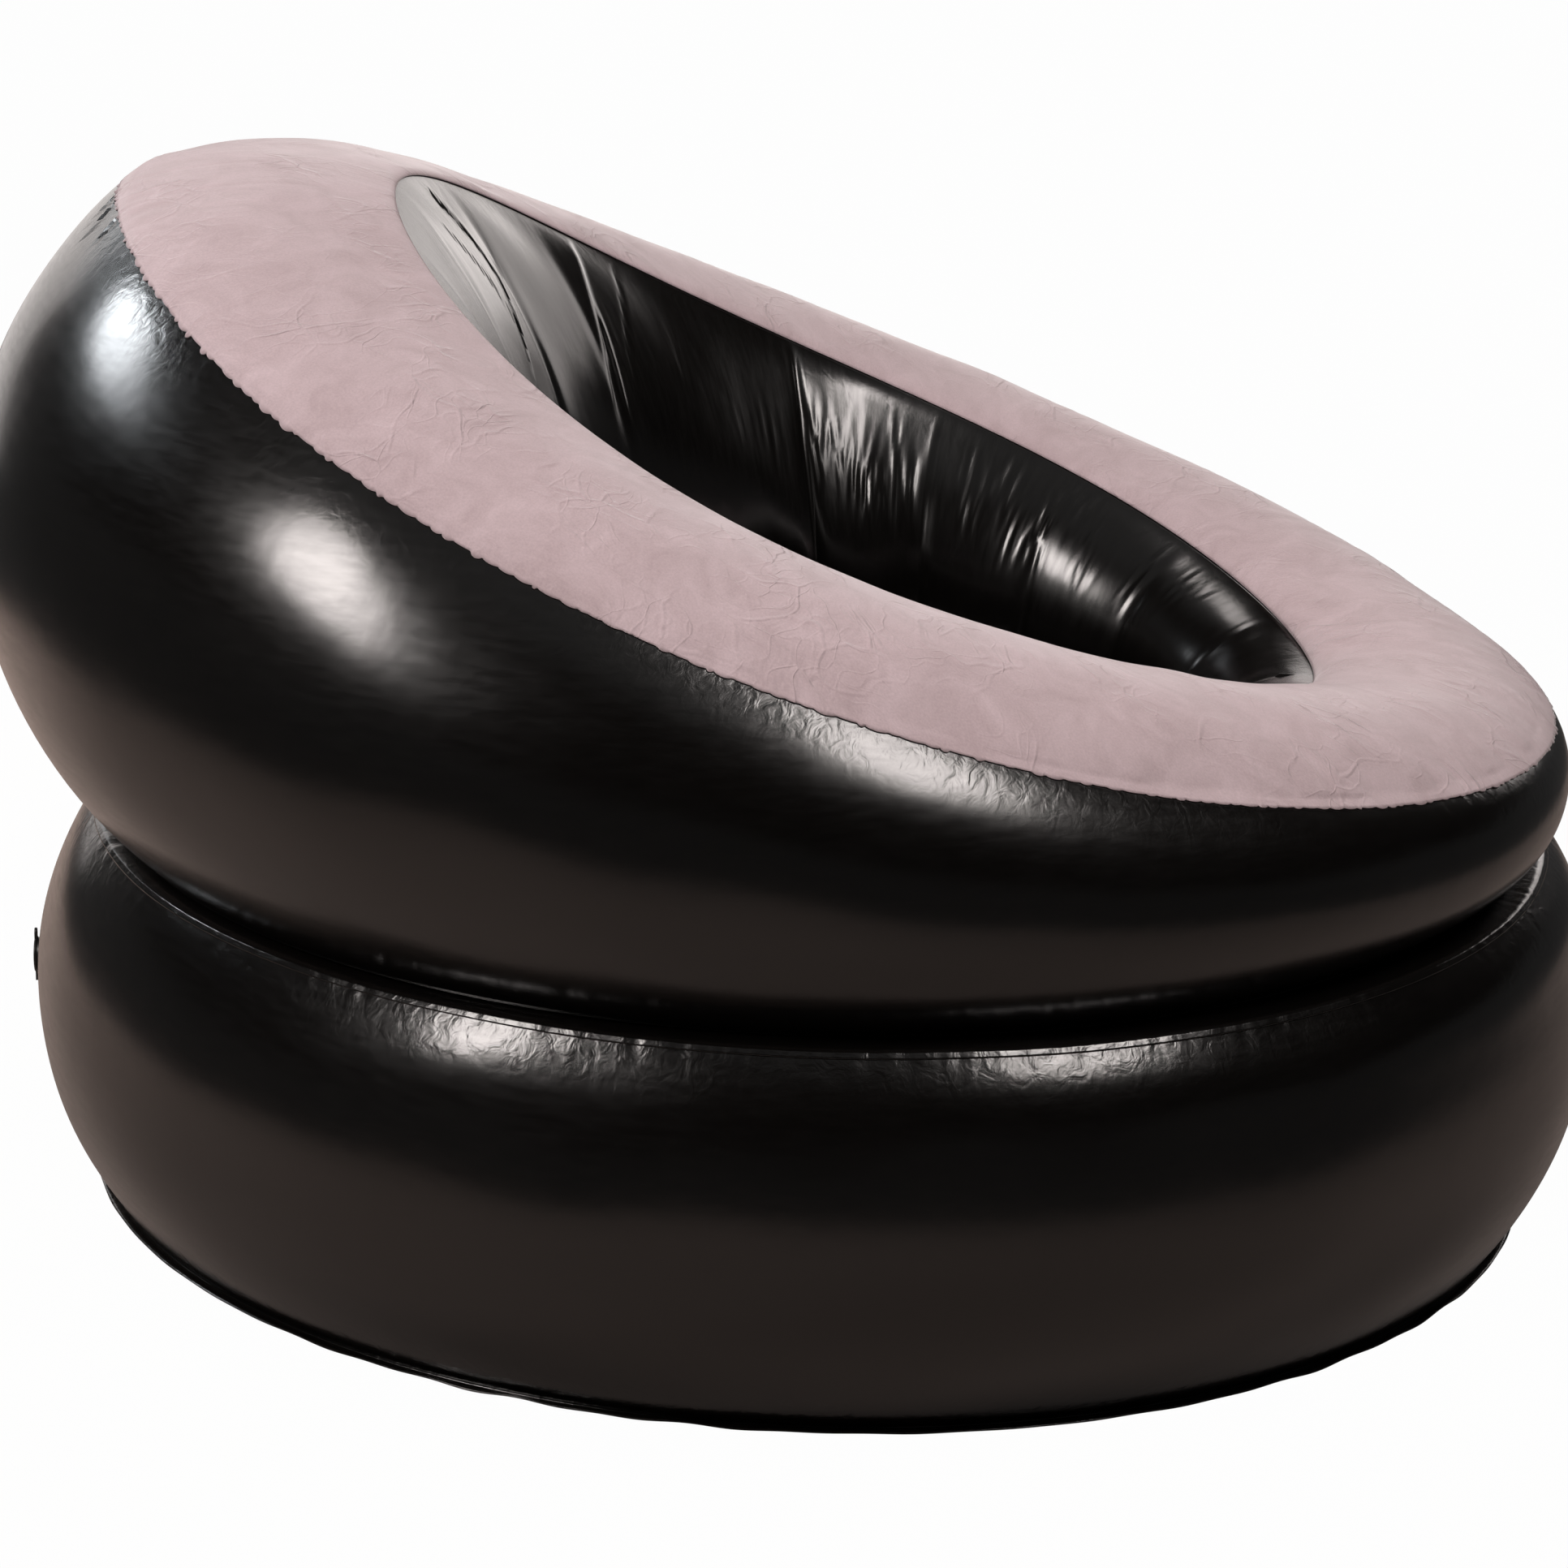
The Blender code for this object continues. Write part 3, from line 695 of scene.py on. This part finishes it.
rim_heights = floor_z + ruffle[:, None] * flange_shares ** 2
rim_rows = out * (base_bottom_radius + flange_width * flange_shares) + up * rim_heights
floor_shares = np.array((1.0, 0.7, 0.35, 0.0))[:, None, None]
disc_rows = out * base_bottom_radius * floor_shares + up * floor_z
bottom_rows = np.concatenate((rim_rows, disc_rows))
bottom_sheet = lay_sheet("base_bottom_film", bottom_rows, film, black_film)
declare_sheet("base_bottom_sheet")


# Base top sheet
# A disc of film whose edge is lapped over the wall's head and welded in two lines. The ring stands on it, and
# the crowned middle that shows in the well is the seat, drawn down in six channels by the ties.

contact_rise = 2.5 * MM
contact_inset = 68 * MM
well_half_width = 250 * MM
well_half_length = 240 * MM
well_centre_y = -30 * MM
seat_margin = 15 * MM
seat_crown = 30 * MM
channel_depth_share = 0.3
channel_width_share = 2 / 9
base_lap_width = 4.5 * MM
tie_count = 6
contact_z = base_height + contact_rise
contact_radius = base_top_radius - contact_inset
seat_radius = min(well_half_width, well_half_length) - seat_margin
seat_centre = np.array((0, well_centre_y, 0))


def strip_beside(points, widths, offset, shares_of_width=(1, 0.8, 0.6, 0.4, 0.2, 0), at_end=True):
    """Rows of a strip laid along a wall's seam, of each column's width, at an offset outside the wall."""
    wall = points[::-1] if at_end else points
    normals = outside(points)[::-1] if at_end else outside(points)
    steps = np.linalg.norm(np.diff(wall, axis=0), axis=-1)
    run = np.vstack((np.zeros(columns + 1), np.cumsum(steps, axis=0)))
    every = np.arange(columns + 1)
    rows = []
    for share in shares_of_width:
        distance = widths * share
        row = np.minimum((run <= distance).sum(axis=0) - 1, len(wall) - 2)
        part = ((distance - run[row, every]) / (run[row + 1, every] - run[row, every]))[:, None]
        place = wall[row, every] * (1 - part) + wall[row + 1, every] * part
        normal = unit(normals[row, every] * (1 - part) + normals[row + 1, every] * part)
        rows.append(place + normal * offset)
    return np.array(rows)


base_lap = strip_beside(base_wall_points, np.full(columns + 1, base_lap_width), film + gap)
contact = seat_centre + out * contact_radius + up * contact_z
inward = np.linspace(0, 1, 9)[1:, None, None]
inward_rows = base_lap[-1] + (contact - base_lap[-1]) * inward
seat_shares = np.linspace(1, 0, 22)
tie_angles = (angles - first_rib_angle) * tie_count / math.tau
beside_tie = np.abs((tie_angles + 0.5) % 1 - 0.5) / channel_width_share
seat_rows = []
for share in seat_shares:
    channel = channel_depth_share * share * np.maximum(0, 1 - beside_tie ** 2)
    height = contact_z + seat_crown * (1 - share * share) * (1 - channel)
    seat_rows.append(seat_centre + out * seat_radius * share + up * height[:, None])
base_top_rows = np.concatenate((base_lap, inward_rows, np.array(seat_rows)))
base_top = lay_sheet("base_top_film", base_top_rows, film, black_film, seams=(0,))
declare_sheet("base_top_sheet")


# Ring bottom sheet
# The flat sheet of film that closes the ring's underside, with the ring's two walls welded to it. It lies on
# the base's top and can't be seen.

foot_inset = 21 * MM
foot_centre_y = 10 * MM
foot_radius = base_top_radius - foot_inset
ring_floor_z = contact_z + film + gap
ring_hem_z = ring_floor_z + film + gap


def oval(half_width, half_length, centre_y, height):
    return np.stack((half_width * np.cos(angles), centre_y + half_length * np.sin(angles),
                     np.full(columns + 1, height)), axis=1)


well_edge = oval(well_half_width, well_half_length, well_centre_y, ring_floor_z)
foot_edge = oval(foot_radius, foot_radius, foot_centre_y, ring_floor_z)
floor_steps = np.linspace(0, 1, 7)[:, None, None]
ring_floor_rows = well_edge + (foot_edge - well_edge) * floor_steps
ring_bottom = lay_sheet("ring_bottom_film", ring_floor_rows, film, black_film)
declare_sheet("ring_bottom_sheet")


# Ring outer wall
# The tall band of film round the outside, deepest at the back. It is welded by a hem to the ring's bottom
# sheet, and small pleats gather under the tilted seam where it meets the flocked top.

hem_width = 10 * MM
outer_half_width = 467 * MM
outer_half_length = 523 * MM
outer_centre_y = -7 * MM
outer_rise = 241 * MM
outer_tilt = math.radians(18.6)
outer_lift = 22 * MM
outer_egg_share = 0.05
outer_swell = (52 * MM, 103 * MM, 33 * MM)
outer_foot_fade = 60 * MM


def by_side(sizes):
    """A size that runs smoothly round the ring, given at its sides, its back and its front."""
    sides, back_size, front_size = sizes
    ends = (back_size + front_size) / 2
    mean = (sides + ends) / 2
    return mean + (back_size - front_size) / 2 * np.sin(angles) + (sides - mean) * np.cos(2 * angles)


def tilted_seam(half_width, half_length, egg_share, centre_y, rise, tilt, sink):
    """An egg-shaped seam above the base, tilted up towards the back, and sunk below its plane by sink."""
    run = half_length * np.sin(angles)
    return np.stack((half_width * np.cos(angles) * (1 + egg_share * np.sin(angles)),
                     centre_y + run * math.cos(tilt),
                     base_height + rise + run * math.sin(tilt) - sink), axis=1)


outer_seam = tilted_seam(outer_half_width, outer_half_length, outer_egg_share, outer_centre_y, outer_rise,
                         outer_tilt, outer_lift * np.cos(2 * angles))
ring_foot = oval(foot_radius, foot_radius, foot_centre_y, ring_hem_z)
outer_length = arc_length(ring_foot, outer_seam, by_side(outer_swell))
shares = shares_between(outer_length, 44, at_start=(0, 4 * MM, 10 * MM), at_end=strip_steps)
outer_away = (1 - shares) * outer_length
outer_points = swollen(ring_foot, outer_seam, out, by_side(outer_swell), shares)
outer_pleats = pleats(seed=11, spacing=24 * MM, reach=outer_half_length, length=12 * MM, depth=0.35 * MM)
outer_pleats += [
    (94, 14 * MM, 2.4 * MM, 15 * MM, 0.7, -3.0 * MM),
    (97, 20 * MM, 2.4 * MM, 13 * MM, 0.8, -3.2 * MM),
    (101, 12 * MM, 2.4 * MM, 14 * MM, 0.6, -2.6 * MM),
    (106, 12 * MM, 2.4 * MM, 16 * MM, 0.5, -0.35 * MM),
    (112, 8 * MM, 2.4 * MM, 14 * MM, 0.3, -0.3 * MM)]
outer_heights = creased(outer_away, outer_half_length, outer_pleats)
outer_heights += uneven(seed=12, away=outer_away, height=0.4 * MM, reach=outer_half_length,
                        wavelength=190 * MM)
outer_heights *= risen(shares * outer_length, outer_foot_fade)
outer_points = raised(outer_points, outer_heights)
ring_hem = ring_foot - out * hem_width
outer_rows = np.concatenate((ring_hem[None], outer_points))
outer_wall = lay_sheet("ring_outer_film", outer_rows, film, black_film, seams=(-1,))
seat_valve(outer_wall, valve_places["ring"])
declare_sheet("ring_outer_wall")


# Flocked top
# The sheet one leans on: a thicker film with a short nylon pile fixed to it, so that it is matt and warm to
# the touch. Its cut edge is lapped over the outer wall, and heat has scalloped it.

flocked_film = 0.6 * MM
lap_width = 8 * MM
top_swell = (25 * MM, 16 * MM, 24 * MM)
inner_half_width = 276 * MM
inner_half_length = 353 * MM
inner_centre_y = -13 * MM
inner_rise = 261 * MM
inner_tilt = math.radians(24.9)
inner_lift = 15.5 * MM
inner_wave = 7 * MM
inner_egg_share = 0.028
tip_angle = math.radians(268)
tip_half_turn = 0.55
tip_reach = 9 * MM
tip_drop = 9 * MM
tip_crest = 5 * MM
rim_roll = 2.2 * MM


def ridge_beside(away, height, rise, fall):
    """A low ridge along a seam, which rises from it over one distance and falls off over another."""
    return height * (1 - np.exp(-away / rise)) * np.exp(-(away / fall) ** 2)


wave = inner_lift * np.cos(2 * angles) + inner_wave * np.sin(3 * angles)
front_share = np.exp(-(turned_from(tip_angle) / tip_half_turn) ** 2)
inner_seam = tilted_seam(inner_half_width, inner_half_length, inner_egg_share,
                         inner_centre_y - tip_reach * front_share, inner_rise, inner_tilt,
                         wave + tip_drop * front_share)

# Nylon flock: a pile of short cut fibres, matt, with a soft sheen where it is seen from the side. It shows in
# patches how it was last brushed, and the film under it has long fine creases. Single fibres are too fine to
# show, so the specks of the pile are drawn 1.6 mm wide.
flock_colour = "c4b1b5"
flock_shade = "b3a0a3"
pile_size = 1.6 * MM
brushed_size = 45 * MM
bend_size = 90 * MM
bend_reach = 130 * MM
creased_patch = 70 * MM
rumple_size = 7 * MM
rumple_drawn_out = 0.22
rumple_depth = 0.7 * MM
nap_depth = 0.25 * MM

flock, tree = start_material("nylon_flock")
place = add(tree, "Attribute", attribute_name="laid")
brushed = add(tree, "TexNoise", {"Vector": (place, "Vector"), "Scale": 1 / brushed_size, "Detail": 5,
                                 "Roughness": 0.6, "Distortion": 1.2})
pile = add(tree, "TexNoise", {"Vector": (place, "Vector"), "Scale": 1 / pile_size, "Detail": 2})
lie = add(tree, "MapRange", {"Value": (brushed, "Fac"), "From Min": 0.3, "From Max": 0.7})
tone = mix_colours(tree, (lie, "Result"), linear(flock_colour), linear(flock_shade))
speck = add(tree, "MapRange", {"Value": (pile, "Fac"), "From Min": 0.25, "From Max": 0.75,
                               "To Min": 0.93, "To Max": 1.07})
colour = add(tree, "VectorMath", {0: tone, 1: (speck, "Result")}, operation="MULTIPLY")
warp = add(tree, "TexNoise", {"Vector": (place, "Vector"), "Scale": 1 / bend_size, "Detail": 2})
bent = add(tree, "VectorMath", {0: (warp, "Color"), "Scale": bend_reach}, operation="SCALE")
moved = add(tree, "VectorMath", {0: (place, "Vector"), 1: (bent, "Vector")}, operation="ADD")
patches = add(tree, "TexNoise", {"Vector": (place, "Vector"), "Scale": 1 / creased_patch, "Detail": 1})
worn = add(tree, "MapRange", {"Value": (patches, "Fac"), "From Min": 0.42, "From Max": 0.62})
folds = None
for size, depth in ((64 * MM, 0.5 * MM), (27 * MM, 0.27 * MM)):
    cells = add(tree, "TexVoronoi", {"Vector": (moved, "Vector"), "Scale": 1 / size},
                feature="DISTANCE_TO_EDGE")
    line = add(tree, "MapRange", {"Value": (cells, "Distance"), "From Min": 0.0, "From Max": 0.055,
                                  "To Min": 1.0, "To Max": 0.0}, interpolation_type="SMOOTHSTEP")
    shown = add(tree, "Math", {0: (line, "Result"), 1: (worn, "Result")}, operation="MULTIPLY")
    below_it = {} if folds is None else {"Normal": (folds, "Normal")}
    folds = add(tree, "Bump", {"Height": (shown, "Value"), "Distance": depth, "Strength": 1, **below_it})
drawn = add(tree, "Mapping", {"Vector": (moved, "Vector"), "Scale": (1, 1, rumple_drawn_out)})
wrinkles = add(tree, "TexNoise", {"Vector": (drawn, "Vector"), "Scale": 1 / rumple_size, "Detail": 3})
rumpled = add(tree, "Math", {0: (wrinkles, "Fac"), 1: (worn, "Result")}, operation="MULTIPLY")
folds = add(tree, "Bump", {"Height": (rumpled, "Value"), "Distance": rumple_depth, "Strength": 1,
                           "Normal": (folds, "Normal")})
nap = add(tree, "Bump", {"Height": (pile, "Fac"), "Distance": nap_depth, "Strength": 0.6,
                         "Normal": (folds, "Normal")})
skin = add(tree, "BsdfPrincipled", {"Base Color": (colour, "Vector"), "Roughness": 0.92, "IOR": 1.45,
                                    "Sheen Weight": 0.55, "Sheen Roughness": 0.4,
                                    "Specular IOR Level": 0.15, "Normal": (nap, "Normal")})
add(tree, "OutputMaterial", {"Surface": (skin, "BSDF")})

# Where the lap was cut wider or narrower: the angle in degrees, the change of width, and how far it spreads.
lap_changes = ((78, 9 * MM, 15), (110, -3.5 * MM, 15), (285, 4 * MM, 26))
lap_widths = np.full(columns + 1, lap_width)
for middle, change, spread in lap_changes:
    aside = np.degrees(turned_from(math.radians(middle)))
    lap_widths = lap_widths + change * np.exp(-(aside / spread) ** 2)
flock_lap = strip_beside(outer_points, lap_widths, film / 2 + gap + flocked_film / 2)
top_start = flock_lap[-1]
top_length = arc_length(top_start, inner_seam, by_side(top_swell))
shares = shares_between(top_length, 34, at_start=strip_steps[:9], at_end=strip_steps[:7])
top_away = shares * top_length
top_points = swollen(top_start, inner_seam, up, by_side(top_swell), shares)
lap_pleats = pleats(seed=31, spacing=34 * MM, reach=outer_half_length, length=22 * MM, depth=0.8 * MM)
top_heights = creased(top_away, outer_half_length, lap_pleats)
top_heights += uneven(seed=32, away=top_away, height=0.35 * MM, reach=outer_half_length, wavelength=120 * MM)
to_inner = (1 - shares) * top_length
edge_fade = risen(top_away, 4 * MM) * risen(to_inner, 30 * MM)
roll = ridge_beside(to_inner, rim_roll, rise=4 * MM, fall=30 * MM)
crest = ridge_beside(to_inner, tip_crest * front_share, rise=12 * MM, fall=60 * MM)
top_points = raised(top_points, top_heights * edge_fade + roll + crest)
flocked_rows = np.concatenate((flock_lap[:-1], top_points))
flocked_top = lay_sheet("flocked_top_sheet", flocked_rows, flocked_film, flock)

# The scallops of the cut edge are deeper at two places: these are their angles and spreads, in radians.
tooth_spacing = 11 * MM
tooth_depth = 3 * MM
plain_depth_share = 0.7
deeper_by_share = 0.6
deeper_places = ((math.radians(115), 0.75), (math.radians(275), 0.3))
tooth_roundness = 0.6

tooth_draw = np.random.default_rng(21)
tooth_count = round(math.tau * outer_half_length / tooth_spacing)
tooth_numbers = np.arange(tooth_count) + tooth_draw.uniform(-0.35, 0.35, tooth_count)
tooth_ends = np.sort(tooth_numbers * math.tau / tooth_count)
tooth_sizes = tooth_draw.uniform(0.1, 1, tooth_count)
bm = bmesh.new()
bm.from_mesh(flocked_top.data)
laid = bm.verts.layers.float_vector["laid"]
cut_edge = [edge for edge in bm.edges if edge.is_boundary and edge.verts[0][laid].z < merge_distance]
bmesh.ops.subdivide_edges(bm, edges=cut_edge, cuts=2)
cut = [vertex for vertex in bm.verts if vertex[laid].z < merge_distance]
down_wall = flocked_rows[0] - flocked_rows[1]
for vertex in cut:
    angle = math.atan2(vertex[laid].y, vertex[laid].x) % math.tau
    column = (angle - first_rib_angle) % math.tau / math.tau * columns
    tooth = min(int(np.searchsorted(tooth_ends, angle)), tooth_count - 1)
    start = tooth_ends[tooth - 1] if tooth else tooth_ends[-1] - math.tau
    along_tooth = min(1, max(0, (angle - start) / (tooth_ends[tooth] - start)))
    bump = math.sin(math.pi * along_tooth) ** tooth_roundness
    depth_share = plain_depth_share
    for middle, spread in deeper_places:
        depth_share += deeper_by_share * math.exp(-((angle - middle) / spread) ** 2)
    fall = Vector(down_wall[round(column)]).normalized()
    vertex.co += fall * tooth_depth * depth_share * tooth_sizes[tooth] * bump
bm.to_mesh(flocked_top.data)
bm.free()
declare_sheet("flocked_top")


# Ring inner wall
# The band of film that lines the well. It is too long for its place, so it hangs in upright wrinkles below
# the rim, and it is drawn in where the ribs inside are welded to its back.

rib_count = 18
inner_swell = (60 * MM, 62 * MM, 40 * MM)
bay_share = 0.2
groove_share = 0.3
quilt_share = 0.22
groove_width = 7 * MM
fold_clearance = 0.6 * MM

inwards = unit(flocked_rows[-1] - flocked_rows[-2])
under_flock = -(flocked_film / 2 + gap + film / 2)
below = outside(flocked_rows)[-1] * under_flock
inner_head = flocked_rows[-1] + below + inwards * fold_clearance
inner_foot = oval(well_half_width, well_half_length, well_centre_y, ring_hem_z)
bay = (angles - first_rib_angle) * rib_count / math.tau
beside_rib = np.abs((bay + 0.5) % 1 - 0.5) * math.tau * inner_half_width / rib_count
# How hard the ribs draw the band in: the angle in degrees, and the share.
drawn_in_at = ((10, 0.7), (30, 0.1), (50, 0.25), (70, 0.5), (90, 0.35), (310, 0.35), (330, 0.4), (350, 0.4),
               (370, 0.7))
drawn_in = np.interp(np.degrees(angles), *zip(*drawn_in_at))
quilting = bay_share * np.cos(math.pi * bay) ** 2 + groove_share * np.exp(-(beside_rib / groove_width) ** 2)
inner_out = by_side(inner_swell) * (1 - quilt_share * drawn_in * quilting)
inner_length = arc_length(inner_head, inner_foot, inner_out)
shares = shares_between(inner_length, 46, at_start=strip_steps[:6], at_end=(0, 6 * MM))
inner_away = shares * inner_length
inner_points = swollen(inner_head, inner_foot, -out, inner_out, shares)
# The hanging wrinkles: between two angles in degrees, how many, how far from the rim, and how deep.
wrinkle_bands = (
    (-6, 10, 22, 84 * MM, 0.9 * MM),
    (-12, -3, 12, 55 * MM, 0.6 * MM),
    (-30, -11, 20, 50 * MM, 0.7 * MM),
    (-52, -30, 16, 46 * MM, 0.6 * MM),
    (-75, -50, 10, 34 * MM, 0.3 * MM),
    (10, 46, 14, 95 * MM, 0.4 * MM),
    (68, 80, 6, 80 * MM, 0.8 * MM),
    (90, 250, 50, 80 * MM, 0.4 * MM))
# The long folds: their path, half width, height and kind.
long_folds = (
    (((43, 3 * MM), (46, 60 * MM), (49, 110 * MM), (52, 160 * MM)), 2.2 * MM, 2.6 * MM, "step"),
    (((36, 6 * MM), (39, 50 * MM), (43, 106 * MM)), 1.6 * MM, -0.9 * MM, "valley"),
    (((78, 12 * MM), (75, 50 * MM), (74, 90 * MM), (79, 156 * MM)), 2.0 * MM, -2.6 * MM, "valley"),
    (((84, 45 * MM), (80, 90 * MM), (77, 130 * MM)), 1.6 * MM, -1.2 * MM, "valley"),
    (((46, 75 * MM), (48, 146 * MM)), 2.4 * MM, 1.4 * MM, "ridge"),
    (((10, 0), (10, 170 * MM)), 2.4 * MM, -1.5 * MM, "valley"),
    (((350, 0), (350, 170 * MM)), 1.7 * MM, -0.6 * MM, "valley"))
wrinkle_draw = np.random.default_rng(41)
wrinkles = []
for first, last, count, middle, depth in wrinkle_bands:
    for number in range(count):
        wrinkles.append((wrinkle_draw.uniform(first, last), middle + wrinkle_draw.uniform(-18, 18) * MM,
                         wrinkle_draw.uniform(1.6, 3.4) * MM, wrinkle_draw.uniform(12, 28) * MM,
                         wrinkle_draw.uniform(-0.25, 0.25), depth * wrinkle_draw.uniform(-1, 1)))
inner_heights = creased(inner_away, inner_half_length, wrinkles)
inner_heights += uneven(seed=42, away=inner_away, height=0.5 * MM, reach=inner_half_length,
                        wavelength=150 * MM)
for path, width, height, shape in long_folds:
    inner_heights += folded(inner_away, inner_half_length, path, width, height, shape)
# On the far side the band sags, flatter above and fuller below: the angle in degrees, and how much in mm.
sag_at = ((-30, 0), (-22, 2), (-10, 2), (0, 7), (10, 2), (20, 0))
sag = np.interp(np.degrees(turned_from(0)), *zip(*sag_at)) * MM
inner_heights -= sag * np.sin(math.tau * shares)
inner_heights *= risen(inner_away, 25 * MM) * risen((1 - shares) * inner_length, 30 * MM)
inner_points = raised(inner_points, inner_heights)
inner_hem_top = strip_beside(flocked_rows, np.full(columns + 1, hem_width), under_flock, (1, 0.75, 0.5, 0.25))
inner_hem_foot = inner_foot + out * hem_width
inner_rows = np.concatenate((inner_hem_top, inner_points, inner_hem_foot[None]))
lining_film = make_black_film("well_lining_pvc", (5, 1), streak_depth=0.05 * MM, crumple_depth=0.15 * MM)
rim_row = len(inner_hem_top)
inner_wall = lay_sheet("ring_inner_film", inner_rows, film, lining_film,
                       seams=(rim_row,))
declare_sheet("ring_inner_wall")


# Ribs and ties
# Strips of film inside the chambers that hold their shape: eighteen upright ribs in the ring and six ties
# under the seat's channels. They are cut flat, and show only when a chamber is opened.

rib_film = make_black_film("inner_rib_pvc", (1, 1), streak_depth=0.02 * MM, crumple_depth=0.1 * MM,
                           roughness=0.35)
for name, node in frame["nodes"].items():
    if name.startswith(("ring_rib", "base_tie")):
        node.data.materials.clear()
        node.data.materials.append(rib_film)
